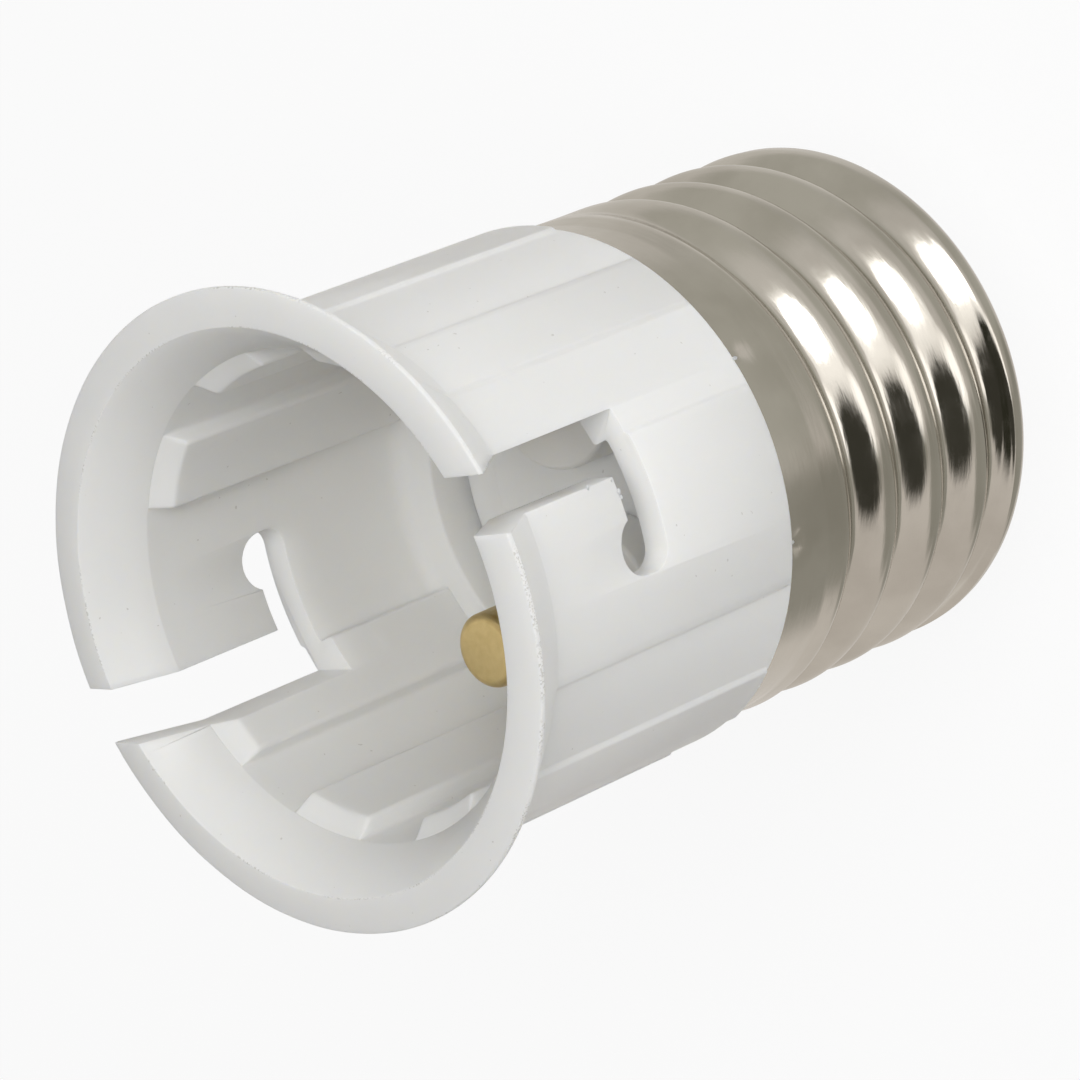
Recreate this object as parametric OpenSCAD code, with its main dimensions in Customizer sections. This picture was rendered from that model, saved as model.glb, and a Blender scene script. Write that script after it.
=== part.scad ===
// Lamp socket adapter: a large screw base that takes a two-pin bayonet cap lamp.
// Origin: centre of the centre contact's flat face. +Z runs along the axis to the mouth.
// +X runs to the right plunger; the bayonet seats are on the Y axis. Millimetres.

/* [Overall] */
// Height from the centre contact's face to the lip
total_h = 48; // [47.5:0.25:50]

/* [Body] */
// Outer radius of the body between its raised panels
body_r = 13.45; // [13.35:0.05:14]
// Length of the body from the lip to its end face
body_len = 21; // [20.9:0.05:21.6]
// Radius of the socket's wall
bore_r = 12.2; // [12:0.05:12.3]
// Depth of the floor below the lip
floor_depth = 20.6; // [20:0.05:20.8]
// Radius of the fillet round the floor
floor_fillet = 0.8; // [0.3:0.1:1.2]

/* [Flared lip] */
// Radius of the lip's inner edge
lip_in_r = 13.95; // [13.6:0.05:14.4]
// Radius of the lip's outer edge
lip_out_r = 15.8; // [15.3:0.05:16.4]
// Fall of the lip's face from its inner edge to its outer edge
lip_drop = 0.27; // [0.1:0.01:0.5]
// Height of the small land round the lip's outer edge
lip_land = 0.25; // [0.1:0.05:0.5]
// Depth of the flare inside the mouth
flare_depth = 2.93; // [2.4:0.01:3.5]
// Depth of the flare on the outside
flare_back = 3.9; // [3:0.05:4.5]

/* [Bayonet slots] */
// Width of each slot's straight leg
slot_w = 2.75; // [2.4:0.05:3.2]
// Distance from the middle of the straight leg to the middle of the pin's seat
slot_shift = 4.82; // [4.4:0.02:5.2]
// Depth of the slot's deep edge below the lip
slot_depth = 12; // [11.8:0.1:12.8]
// Height of the slot's cross leg
cross_h = 2.15; // [2:0.05:2.5]
// Radius of the pin's seat
seat_r = 1.45; // [1.2:0.01:1.6]
// Depth of the seat's centre below the lip
seat_depth = 10.42; // [10.1:0.01:10.7]
// Radius of the cross leg's rounded end
cross_end_r = 1.05; // [0.9:0.05:1.1]

/* [Inner ribs] */
// Height of each rib from the socket's wall
rib_h = 0.9; // [0.5:0.05:1]
// Drop of each rib's bevel below the flare
rib_drop = 0.1; // [0.05:0.05:0.5]
// Width of each rib, in degrees
rib_turn = 20; // [16:1:24]
// Angle from the X axis to the ribs nearest the plungers, in degrees
rib_near = 19; // [16:1:22]
// Angle from the X axis to the ribs nearest the slots, in degrees
rib_far = 57; // [52:1:60]

/* [Outer panels] */
// Height of the raised panels
panel_h = 0.22; // [0.1:0.01:0.35]
// Half width of the panel round each seat, in degrees
seat_panel_half = 21.5; // [18:0.5:24]
// Half width of the panel over each plunger, in degrees
end_panel_half = 10.6; // [8:0.2:14]
// Angle from the X axis to the narrow panels, in degrees
narrow_panel = 39.6; // [36:0.2:43]
// Half width of the narrow panels, in degrees
narrow_panel_half = 8; // [6:0.5:10]

/* [Neck] */
// Length of the neck below the body's end face
neck_len = 12.5; // [11.5:0.1:13.2]
// Gap between the neck's step and the shell's collar
collar_gap = 0.08; // [0.06:0.01:0.2]
// Gap between the neck and the root of the thread
thread_gap = 0.28; // [0.1:0.02:0.4]
// Radius of the neck's bore, which takes the contact carrier
neck_bore_r = 10.5; // [10.3:0.05:10.7]
// Radius of the round hole in the floor ledge
recess_r = 9.9; // [9.8:0.05:10.1]
// Thickness of the floor ledge round that hole
ledge_t = 2.6; // [2:0.05:3]
// Bevel round the edge of that hole
recess_edge = 0.15; // [0.05:0.05:0.3]
// Height of the snap nibs under the carrier
nib_h = 0.35; // [0.2:0.05:0.5]
// Width of each snap nib, in degrees
nib_turn = 16; // [10:1:24]

/* [Contact carrier] */
// Thickness of the carrier's disc
disc_t = 2.5; // [2:0.1:3]
// Gap round the disc and its locating rim
disc_gap = 0.05; // [0.02:0.01:0.1]
// Height of the locating rim above the disc
rim_h = 0.4; // [0.2:0.05:0.7]
// Radius of the raised middle of the disc
plateau_r = 7.4; // [6.5:0.1:8]
// Height of the raised middle above the rim
plateau_h = 0.15; // [0.1:0.05:0.4]
// Distance of each plunger from the axis
plunger_x = 5.5; // [5.3:0.05:5.6]
// Radius of each boss and stem
boss_r = 4.1; // [4:0.05:4.2]
// Height of each boss above the disc
boss_h = 3.2; // [2.6:0.05:3.4]
// Radius of the rounding on each boss's edge
boss_round = 0.25; // [0.2:0.05:0.8]
// Thickness of the boss's top round the plunger
boss_top_t = 1.8; // [1.2:0.1:2.2]
// Length of each stem below the disc
stem_len = 6.7; // [6.4:0.1:7.2]
// Radius of the stem's bore
stem_bore_r = 2.7; // [2.6:0.05:2.9]

/* [Plungers] */
// Radius of the plunger
plunger_r = 1.9; // [1.7:0.05:2]
// Height of the left plunger's face above its boss
plunger_out = 7.9; // [7.7:0.1:8.3]
// How much lower the face of the right plunger lies than the left one's
right_short = 0.6; // [0:0.1:1]
// Radius of the rounding on the plunger's face
plunger_round = 0.45; // [0.2:0.05:0.8]
// Running gap round the plunger
plunger_gap = 0.06; // [0.03:0.01:0.09]
// Running gap round the plunger's collar
collar_run = 0.08; // [0.05:0.01:0.1]
// Thickness of the plunger's collar
collar_t = 1; // [0.8:0.1:1.4]

/* [Springs] */
// Radius of the spring's wire
wire_r = 0.2; // [0.15:0.01:0.22]
// Radius of the spring at the middle of its wire
coil_r = 2.2; // [2:0.05:2.35]
// Turns of the spring
coil_turns = 6.5; // [5:0.5:7]

/* [Terminal caps] */
// Wall of the cap
cap_t = 0.4; // [0.3:0.05:0.45]
// Height of the cap's skirt round the stem
cap_skirt = 3; // [2:0.1:4]
// Thickness of the cap's base
cap_base_t = 0.6; // [0.4:0.1:0.8]
// Length of the solder tail
tail_len = 2.4; // [2.3:0.1:2.8]
// Width of the solder tail
tail_w = 2.1; // [1.8:0.1:2.4]
// Thickness of the solder tail
tail_t = 0.5; // [0.4:0.05:0.6]

/* [Screw shell] */
// Radius of the thread's crest
crest_r = 13.15; // [13.1:0.01:13.25]
// Depth of the thread
thread_depth = 1.02; // [0.9:0.02:1.1]
// Pitch of the thread
pitch = 3.63; // [3.6:0.01:3.68]
// Turns of the thread's groove
thread_turns = 3.5; // [3:0.5:3.5]
// Turn over which the groove fades in and out, in degrees
thread_fade = 60; // [30:5:90]
// Thickness of the sheet metal
sheet_t = 0.3; // [0.25:0.01:0.35]
// Outer radius of the plain collar
shell_collar_r = 13; // [12.95:0.05:13.1]
// Gap between the body's end face and the shell's rim
rim_gap = 0.2; // [0.1:0.05:0.3]
// Distance from the shell's rim to the thread's start
thread_start = 1.31; // [1:0.01:1.6]
// Angle of the thread's start, in degrees
start_angle = 14.4; // [0:0.2:40]
// Radius of the shell above its rounded end
shell_end_r = 13.1; // [13:0.05:13.15]
// Length of the plain run between the thread and the rounded end
end_run = 0.25; // [0.15:0.05:0.5]
// Radius of the rounding at the shell's end
end_round = 1.6; // [1.3:0.1:1.8]
// Radius of the hole in the shell's end
shell_hole_r = 10.65; // [10.4:0.05:10.9]

/* [Tip insulator] */
// Gap between the cone and the hole in the shell's end
cone_gap = 0.25; // [0.1:0.05:0.4]
// Radius of the cone's small end
cone_tip_r = 5.5; // [5.1:0.1:6]
// Wall of the cone
cone_wall = 1.8; // [1.5:0.1:2.2]
// Thickness of the cone's small end round the rivet
cone_floor = 1.8; // [1.4:0.1:2.2]
// Gap between the insulator and the shell's rounding
skirt_gap = 0.05; // [0.02:0.01:0.2]
// Wall of the insulator's skirt
skirt_wall = 1.15; // [1:0.05:1.4]

/* [Centre contact] */
// Height of the centre contact's button
button_h = 1.6; // [1.4:0.05:1.9]
// Radius of the centre contact
button_r = 4.8; // [4.5:0.1:5]
// Radius of the rounding round the contact's face
button_round = 0.9; // [0.5:0.05:1.2]
// Radius of the rivet shank
shank_r = 1.5; // [1.2:0.05:1.8]
// Radius of the rivet's clinched head
clinch_r = 2.2; // [2:0.05:2.6]
// Height of the rivet's clinched head
clinch_h = 0.6; // [0.4:0.05:0.8]

/* [Leads and solder] */
// Radius of each insulated lead
lead_r = 0.65; // [0.5:0.05:0.7]
// Room round the lead in the skirt's notch
notch_room = 0.2; // [0.1:0.05:0.4]
// Radius of each solder bead
bead_r = 1; // [0.9:0.05:1.05]
// Height of each solder bead
bead_h = 1.1; // [0.9:0.05:1.3]

/* [Smoothness] */
// Sides of round forms
round_sides = 96; // [48:12:144]
// Sides of the threaded shell
thread_sides = 48; // [36:6:60]

/* [Hidden] */
$fn = round_sides;

// Close fit between pieces that are fixed together
slip = 0.02;
// Gap between a spring or collar and its seat
seat_gap = 0.03;
// How far a rib, panel or nib runs into the wall that carries it
root = 0.4;
// How far a cut runs past the wall that it cuts
overrun = 0.5;
// Steps in each rounding
round_steps = 5;
// Right, centre and left of the axis
right = 1;
left = -1;
// Angles
full_turn = 360;
half_turn = 180;
quarter_turn = 90;
// Angle of the first snap nib
nib_start = 90;
// Number of snap nibs
nib_count = 3;
// Height of a nib's slope, in nib heights
nib_slope_share = 2;
// Depth of the neck's step below the thread's start, in pitches
neck_step_share = 0.3;
// How far the neck keeps inside the thread's crest, in thread depths
neck_share = 0.14;
// Sharpness of the thread's crest against its groove
crest_share = 0.7;
// Points along the thread's section in one pitch
section_steps = 6;
// Rings across the shell's rounded end
end_steps = 4;
// Points round the wire in one spring, and steps in one turn of it
wire_sides = 6;
turn_steps = 14;
// Points round a lead, and steps along its bend
lead_sides = 8;
bend_steps = 10;
// Where the bead's shoulder and the lead's seat lie along its height
shoulder_share = 0.45;
seat_share = 0.35;
// How far each lead runs straight on into its bend
reach_share = 0.75;

// Heights along the axis
mouth_z = total_h;
lip_z = mouth_z - lip_drop - lip_land;
flare_z = mouth_z - flare_depth;
flare_back_z = mouth_z - flare_back;
body_z = mouth_z - body_len;
floor_z = mouth_z - floor_depth;
slot_z = mouth_z - slot_depth;
seat_z = mouth_z - seat_depth;
ledge_z = floor_z - ledge_t;
neck_z = body_z - neck_len;
disc_z = ledge_z - disc_t;
boss_z = ledge_z + boss_h;
spring_bore_z = boss_z - boss_top_t;
stem_z = disc_z - stem_len;
collar_z = spring_bore_z - seat_gap - collar_t;
cap_z = stem_z - cap_base_t;
tail_z = cap_z - tail_len / 2;
rim_z = body_z - rim_gap;
thread_z = rim_z - thread_start;
neck_step_z = thread_z - pitch * neck_step_share;
end_z = thread_z - pitch * (thread_turns + 1) - end_run;
shell_z = end_z - end_round;
shell_in_z = shell_z + sheet_t;
clinch_z = button_h + cone_floor + slip;
rivet_z = clinch_z + clinch_h;

// Radii
root_r = crest_r - thread_depth;
neck_r = min(shell_collar_r, crest_r - thread_depth * neck_share) - sheet_t - collar_gap;
neck_low_r = root_r - sheet_t - thread_gap;
disc_r = neck_bore_r - disc_gap;
rim_r = recess_r - disc_gap;
rib_r = bore_r - rib_h;
panel_r = body_r + panel_h;
shaft_bore_r = plunger_r + plunger_gap;
collar_r = stem_bore_r - collar_run;
cap_in_r = boss_r + slip;
cap_r = cap_in_r + cap_t;
end_centre_r = shell_end_r - end_round;
cone_r = shell_hole_r - cone_gap;
skirt_r = end_centre_r - skirt_gap;
skirt_in_r = skirt_r - skirt_wall;
cone_in_r = cone_tip_r - cone_wall;
bead_hole_r = lead_r + slip;

// Slopes of the flare's back and of the cone
flare_slope = (lip_z - flare_back_z) / (lip_out_r - body_r);
cone_slope = (shell_z - button_h) / (cone_r - cone_tip_r);

// Depth of the thread's groove after some turns of it
function groove(turns) =
    let (ease = max(0, min(1, turns * full_turn / thread_fade,
                           (thread_turns - turns) * full_turn / thread_fade)))
    thread_depth * ease * ease * (3 - 2 * ease);

// Where the shell's lead meets the first root of the thread below the right tail, on the X axis
lead_lap = ceil((thread_z - tail_z) / pitch - start_angle / full_turn - 1 / 2);
lead_turns = lead_lap + start_angle / full_turn;
shell_lead_z = thread_z - pitch * (lead_turns + 1 / 2);
lead_wall_r = min(crest_r - groove(lead_turns), shell_end_r) - sheet_t;
shell_lead_r = lead_wall_r * cos(half_turn / thread_sides) - slip;

// Finishes
white = [0.9, 0.9, 0.89];
nickel = [0.72, 0.71, 0.68];
brass = [0.8, 0.68, 0.36];
steel = [0.6, 0.61, 0.63];
tin = [0.7, 0.71, 0.72];
red_cover = [0.7, 0.12, 0.1];
blue_cover = [0.1, 0.2, 0.55];

// Points of an arc round [x, y]
function arc(x, y, r, from, to, steps) =
    [for (s = [0 : steps]) let (a = from + (to - from) * s / steps) [x + r * cos(a), y + r * sin(a)]];

// A point on a curve between p0 and p3, with p1 and p2 as its handles
function bend(p0, p1, p2, p3, t) =
    p0 * pow(1 - t, 3) + p1 * 3 * t * pow(1 - t, 2) + p2 * 3 * t * t * (1 - t) + p3 * pow(t, 3);

function unit(v) = v / norm(v);

// A closed round tube along points, with flat ends; side is never along the route
module tube(points, r, sides, side) {
    last = len(points) - 1;
    rings = [for (p = [0 : last])
        let (t = unit(points[min(p + 1, last)] - points[max(p - 1, 0)]),
             u = unit(cross(t, side)),
             v = cross(t, u))
        for (s = [0 : sides - 1])
            points[p] + u * r * cos(full_turn * s / sides) + v * r * sin(full_turn * s / sides)];
    walls = [for (p = [0 : last - 1], s = [0 : sides - 1])
        let (a = p * sides + s, b = p * sides + (s + 1) % sides)
        each [[a, b, a + sides], [b, b + sides, a + sides]]];
    ends = [[for (s = [sides - 1 : -1 : 0]) s], [for (s = [0 : sides - 1]) last * sides + s]];
    polyhedron(points = rings, faces = concat(walls, ends), convexity = 10);
}

// White moulding: flared mouth, wall, floor ledge and the neck inside the shell
module socket_body() {
    color(white) difference() {
        union() {
            rotate_extrude() polygon(concat(
                [[lip_in_r, mouth_z], [lip_out_r, mouth_z - lip_drop], [lip_out_r, lip_z],
                 [body_r, flare_back_z], [body_r, body_z], [neck_r, body_z],
                 [neck_r, neck_step_z], [neck_low_r, neck_step_z - (neck_r - neck_low_r)],
                 [neck_low_r, neck_z], [neck_bore_r, neck_z], [neck_bore_r, ledge_z],
                 [recess_r, ledge_z], [recess_r, floor_z - recess_edge],
                 [recess_r + recess_edge, floor_z]],
                arc(bore_r - floor_fillet, floor_z + floor_fillet, floor_fillet,
                    -quarter_turn, 0, round_steps),
                [[bore_r, flare_z]]));
            inner_ribs();
            outer_panels();
            snap_nibs();
        }
        for (turn = [0, half_turn]) rotate([0, 0, turn]) bayonet_slot();
    }
}

// Eight ribs that centre the lamp's cap
module inner_ribs() {
    for (turn = [0, half_turn], place = [rib_near, rib_far, half_turn - rib_far,
                                         half_turn - rib_near])
        rotate([0, 0, turn + place - rib_turn / 2]) rotate_extrude(angle = rib_turn)
            polygon([[bore_r + root, floor_z - root], [rib_r, floor_z - root],
                     [rib_r, flare_z - rib_drop - rib_h], [bore_r + root, flare_z - rib_drop + root]]);
}

// Raised flats of the outside wall, which run up into the flare
module outer_panels() {
    for (turn = [0, half_turn]) rotate([0, 0, turn]) {
        outer_panel(0, end_panel_half);
        outer_panel(quarter_turn, seat_panel_half);
        outer_panel(narrow_panel, narrow_panel_half);
        outer_panel(half_turn - narrow_panel, narrow_panel_half);
    }
}

module outer_panel(place, half) {
    top = flare_back_z + panel_h * flare_slope + root;
    low = body_z + panel_h / 2;
    rotate([0, 0, place - half]) rotate_extrude(angle = 2 * half)
        polygon([[body_r - root, low], [panel_r, low], [panel_r, top], [body_r - root, top]]);
}

// Nibs that hold the contact carrier up against the ledge
module snap_nibs() {
    top = disc_z - slip;
    for (n = [0 : nib_count - 1])
        rotate([0, 0, nib_start + full_turn * n / nib_count - nib_turn / 2])
            rotate_extrude(angle = nib_turn)
                polygon([[neck_bore_r + root, top], [neck_bore_r - nib_h, top],
                         [neck_bore_r + root, top - (nib_h + root) * nib_slope_share]]);
}

// One J slot, cut straight along Y as the mould's side core cuts it
module bayonet_slot() {
    leg_in = slot_shift - slot_w / 2;
    leg_out = slot_shift + slot_w / 2;
    cross_z = slot_z + cross_h;
    meet = half_turn - asin((cross_z - seat_z) / seat_r);
    length = lip_out_r + overrun;
    translate([0, length, 0]) rotate([quarter_turn, 0, 0])
        linear_extrude(height = length) polygon(concat(
            [[-leg_out, slot_z], [-leg_out, mouth_z + overrun],
             [-leg_in, mouth_z + overrun], [-leg_in, cross_z]],
            arc(0, seat_z, seat_r, meet, 0, 2 * round_steps),
            arc(seat_r - cross_end_r, slot_z + cross_end_r, cross_end_r,
                0, -quarter_turn, round_steps)));
}

// White insert that seats under the ledge and carries both plungers
module contact_carrier() {
    color(white) difference() {
        union() {
            rotate_extrude() polygon([
                [0, disc_z], [disc_r, disc_z], [disc_r, ledge_z], [rim_r, ledge_z],
                [rim_r - rim_h, ledge_z + rim_h], [plateau_r + plateau_h, ledge_z + rim_h],
                [plateau_r, ledge_z + rim_h + plateau_h], [0, ledge_z + rim_h + plateau_h]]);
            for (side = [left, right]) translate([side * plunger_x, 0, 0])
                rotate_extrude() polygon(concat(
                    [[0, stem_z], [boss_r, stem_z]],
                    arc(boss_r - boss_round, boss_z - boss_round, boss_round,
                        0, quarter_turn, round_steps),
                    [[0, boss_z]]));
        }
        for (side = [left, right]) translate([side * plunger_x, 0, 0]) {
            translate([0, 0, stem_z - overrun])
                cylinder(r = stem_bore_r, h = spring_bore_z - stem_z + overrun);
            translate([0, 0, spring_bore_z - overrun])
                cylinder(r = shaft_bore_r, h = boss_top_t + 2 * overrun);
        }
    }
}

// Brass plunger with a collar that stops it under the boss's top
module plunger(side) {
    face_z = boss_z + plunger_out - (side == right ? right_short : 0);
    color(brass) translate([side * plunger_x, 0, 0]) rotate_extrude() polygon(concat(
        [[0, collar_z], [collar_r, collar_z], [collar_r, collar_z + collar_t],
         [plunger_r, collar_z + collar_t]],
        arc(plunger_r - plunger_round, face_z - plunger_round, plunger_round,
            0, quarter_turn, round_steps),
        [[0, face_z]]));
}

module plunger_right() { plunger(right); }

module plunger_left() { plunger(left); }

// Compression spring between the terminal cap and the plunger's collar
module coil_spring(side) {
    low = stem_z + seat_gap + wire_r;
    rise = collar_z - seat_gap - wire_r - low;
    steps = coil_turns * turn_steps;
    color(steel) translate([side * plunger_x, 0, low]) tube(
        [for (s = [0 : steps])
            [coil_r * cos(full_turn * s / turn_steps), coil_r * sin(full_turn * s / turn_steps),
             rise * s / steps]],
        wire_r, wire_sides, [0, 0, 1]);
}

module spring_right() { coil_spring(right); }

module spring_left() { coil_spring(left); }

// Brass cap pressed on the stem, with a tail for the lead
module terminal_cap(side) {
    color(brass) translate([side * plunger_x, 0, 0]) {
        rotate_extrude() polygon([
            [0, cap_z], [cap_r, cap_z], [cap_r, stem_z + cap_skirt],
            [cap_in_r, stem_z + cap_skirt], [cap_in_r, stem_z], [0, stem_z]]);
        translate([-tail_t / 2, -tail_w / 2, cap_z - tail_len])
            cube([tail_t, tail_w, tail_len + cap_base_t / 2]);
    }
}

module terminal_cap_right() { terminal_cap(right); }

module terminal_cap_left() { terminal_cap(left); }

// Rolled sheet-metal shell with a right-hand round thread, its end turned in
module screw_shell() {
    cols = round(thread_turns * thread_sides);
    line = cols + thread_sides + 1;
    // The shell's end, from the outside round the hole's edge and back up inside
    end = concat(
        arc(end_centre_r, end_z, end_round, 0, -quarter_turn, end_steps),
        [[shell_hole_r, shell_z], [shell_hole_r, shell_in_z]],
        arc(end_centre_r, end_z, end_round - sheet_t, -quarter_turn, 0, end_steps));
    one_side = line + (cols + 1) * (section_steps - 1);
    rim_at = 2 * one_side;
    end_at = rim_at + 2 * thread_sides;

    function turned(step) = start_angle - full_turn * step / thread_sides;
    function crest(k) = pow((1 + cos(full_turn * k / section_steps)) / 2, crest_share);
    function at(step, k, inset) =
        let (r = crest_r - inset - groove(step / thread_sides) * (1 - crest(k)), a = turned(step))
        [r * cos(a), r * sin(a),
         thread_z - pitch * (step / thread_sides + k / section_steps)];
    function ring(r, z, first) =
        [for (j = [0 : thread_sides - 1])
            [r * cos(turned(first + j)), r * sin(turned(first + j)), z]];
    function skin(inset) = concat(
        [for (i = [0 : line - 1]) at(i, 0, inset)],
        [for (i = [0 : cols], k = [1 : section_steps - 1]) at(i, k, inset)]);
    function id(i, k) =
        k == 0 ? i
        : k == section_steps ? i + thread_sides
        : line + i * (section_steps - 1) + k - 1;
    function quad(a, b, c, d) = [[a, b, c], [a, c, d]];
    // Thread, collar band and lower band of one side, before any flip
    function side_faces(rim, low) = concat(
        [for (i = [0 : cols - 1], k = [0 : section_steps - 1])
            each quad(id(i, k), id(i, k + 1), id(i + 1, k + 1), id(i + 1, k))],
        [for (j = [0 : thread_sides - 2]) each quad(rim + j, j, j + 1, rim + j + 1)],
        [[thread_sides - 1, rim, rim + thread_sides - 1], [thread_sides - 1, 0, rim]],
        [for (k = [0 : section_steps - 1]) [thread_sides - 1, id(0, k + 1), id(0, k)]],
        [for (j = [1 : thread_sides - 1])
            each quad(cols + j, low + j, low + (j + 1) % thread_sides, cols + j + 1)],
        [[cols + 1, low, low + 1], [cols + 1, id(cols, section_steps), low]],
        [for (k = [0 : section_steps - 1]) [cols + 1, id(cols, k), id(cols, k + 1)]]);
    function moved(faces, map_from, by) =
        [for (f = faces) [for (p = f) p < map_from ? p + by : p]];
    function flipped(faces) = [for (f = faces) [f[0], f[2], f[1]]];

    low_in = end_at + (len(end) - 1) * thread_sides;
    faces_out = side_faces(rim_at, end_at);
    faces_in = flipped(moved(side_faces(rim_at + thread_sides, low_in), one_side, one_side));
    faces_rim = [for (j = [0 : thread_sides - 1]) let (n = (j + 1) % thread_sides)
        each quad(rim_at + j, rim_at + n, rim_at + thread_sides + n, rim_at + thread_sides + j)];
    faces_end = [for (m = [0 : len(end) - 2], j = [0 : thread_sides - 1])
        let (n = (j + 1) % thread_sides, a = end_at + m * thread_sides, b = a + thread_sides)
        each quad(a + j, b + j, b + n, a + n)];
    color(nickel) polyhedron(
        points = concat(skin(0), skin(sheet_t),
                        ring(shell_collar_r, rim_z, 0), ring(shell_collar_r - sheet_t, rim_z, 0),
                        [for (p = end) each ring(p[0], p[1], cols)]),
        faces = concat(faces_out, faces_in, faces_rim, faces_end), convexity = 10);
}

// White cone that closes the shell and carries the centre contact
module tip_insulator() {
    cone_in_z = button_h + cone_floor;
    notch_w = 2 * (lead_r + notch_room);
    notch_z = shell_lead_z - lead_r - notch_room;
    color(white) difference() {
        rotate_extrude() polygon([
            [skirt_r, neck_z - slip], [skirt_r, shell_in_z + slip], [cone_r, shell_in_z + slip],
            [cone_r, shell_z], [cone_tip_r, button_h], [shank_r + slip, button_h],
            [shank_r + slip, cone_in_z], [cone_in_r, cone_in_z],
            [skirt_in_r, cone_in_z + (skirt_in_r - cone_in_r) * cone_slope],
            [skirt_in_r, neck_z - slip]]);
        translate([0, -notch_w / 2, notch_z])
            cube([skirt_r + overrun, notch_w, neck_z - notch_z + overrun]);
    }
}

// Round contact riveted through the cone
module tip_contact() {
    color(nickel) rotate_extrude() polygon(concat(
        [[0, 0]],
        arc(button_r - button_round, button_round, button_round, -quarter_turn, 0, round_steps),
        [[button_r, button_h - slip], [shank_r, button_h - slip], [shank_r, clinch_z],
         [clinch_r, clinch_z], [clinch_r, rivet_z], [0, rivet_z]]));
}

// Lead from the right cap's tail, through the skirt's notch, to the shell
module shell_lead() {
    start = plunger_x + tail_t / 2 + bead_h * seat_share + slip;
    out = plunger_x + tail_t / 2 + bead_h;
    reach = (shell_lead_r - out) * reach_share;
    from = [out, 0, tail_z];
    to = [shell_lead_r - lead_r, 0, shell_lead_z];
    color(blue_cover) tube(concat(
        [[start, 0, tail_z]],
        [for (s = [0 : bend_steps])
            bend(from, from + [reach, 0, 0], to - [reach, 0, 0], to, s / bend_steps)],
        [[shell_lead_r, 0, shell_lead_z]]), lead_r, lead_sides, [0, 1, 0]);
}

// Lead from the left cap's tail down to the rivet
module tip_lead() {
    start = -plunger_x + tail_t / 2 + bead_h * seat_share + slip;
    from = [-plunger_x + tail_t / 2 + bead_h, 0, tail_z];
    to = [0, 0, rivet_z + bead_h];
    color(red_cover) tube(concat(
        [[start, 0, tail_z]],
        [for (s = [0 : bend_steps])
            bend(from, [from[0] * (1 - reach_share), 0, from[2]],
                 [0, 0, to[2] + (from[2] - to[2]) * (1 - reach_share)], to, s / bend_steps)],
        [[0, 0, rivet_z + bead_h * seat_share + slip]]), lead_r, lead_sides, [0, 1, 0]);
}

// One bead of solder with the lead's end seated in it
module bead() {
    rotate_extrude() polygon([
        [0, 0], [bead_r, 0], [bead_r, bead_h * shoulder_share],
        [bead_hole_r + slip, bead_h], [bead_hole_r, bead_h],
        [bead_hole_r, bead_h * seat_share], [0, bead_h * seat_share]]);
}

module solder_beads() {
    color(tin) {
        for (side = [left, right])
            translate([side * plunger_x + tail_t / 2, 0, tail_z]) rotate([0, quarter_turn, 0])
                bead();
        translate([0, 0, rivet_z]) bead();
    }
}

socket_body();
contact_carrier();
plunger_right();
plunger_left();
spring_right();
spring_left();
terminal_cap_right();
terminal_cap_left();
screw_shell();
tip_insulator();
tip_contact();
shell_lead();
tip_lead();
solder_beads();
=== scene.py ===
"""Looks of the lamp socket adapter: moulded body, rolled screw shell, plungers, studio and camera."""

import logging
import math
from dataclasses import dataclass
from enum import Enum

import bpy
import numpy as np
from mathutils import Matrix, Vector

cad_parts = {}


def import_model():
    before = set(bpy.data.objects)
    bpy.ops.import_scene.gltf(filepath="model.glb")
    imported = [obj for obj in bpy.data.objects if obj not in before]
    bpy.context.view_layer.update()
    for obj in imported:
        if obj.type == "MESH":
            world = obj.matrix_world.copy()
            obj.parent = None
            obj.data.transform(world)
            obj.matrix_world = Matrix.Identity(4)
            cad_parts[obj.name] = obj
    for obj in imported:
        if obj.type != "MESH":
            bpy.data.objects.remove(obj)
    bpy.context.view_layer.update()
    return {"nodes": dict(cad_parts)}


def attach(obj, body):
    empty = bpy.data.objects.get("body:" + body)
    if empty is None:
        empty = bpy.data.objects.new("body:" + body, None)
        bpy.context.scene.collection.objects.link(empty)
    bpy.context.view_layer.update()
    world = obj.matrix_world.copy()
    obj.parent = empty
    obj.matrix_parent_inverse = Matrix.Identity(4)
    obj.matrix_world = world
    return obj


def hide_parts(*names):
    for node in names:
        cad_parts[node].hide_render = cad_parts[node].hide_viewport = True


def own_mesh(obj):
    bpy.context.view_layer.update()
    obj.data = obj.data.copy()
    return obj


LOG = logging.getLogger("adapter")
MM = 0.001
FULL = 2 * math.pi


class Side(Enum):
    """Which plunger a piece belongs to, with its sign along X."""

    RIGHT = 1
    LEFT = -1

    @property
    def word(self) -> str:
        """Name used in nodes, bodies and joints."""
        return self.name.lower()


class Slot(Enum):
    """Names of the record's material slots."""

    WHITE = "white_plastic"
    BRASS = "brass"
    NICKEL = "nickel_plate"
    SPRING = "spring_steel"


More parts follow.
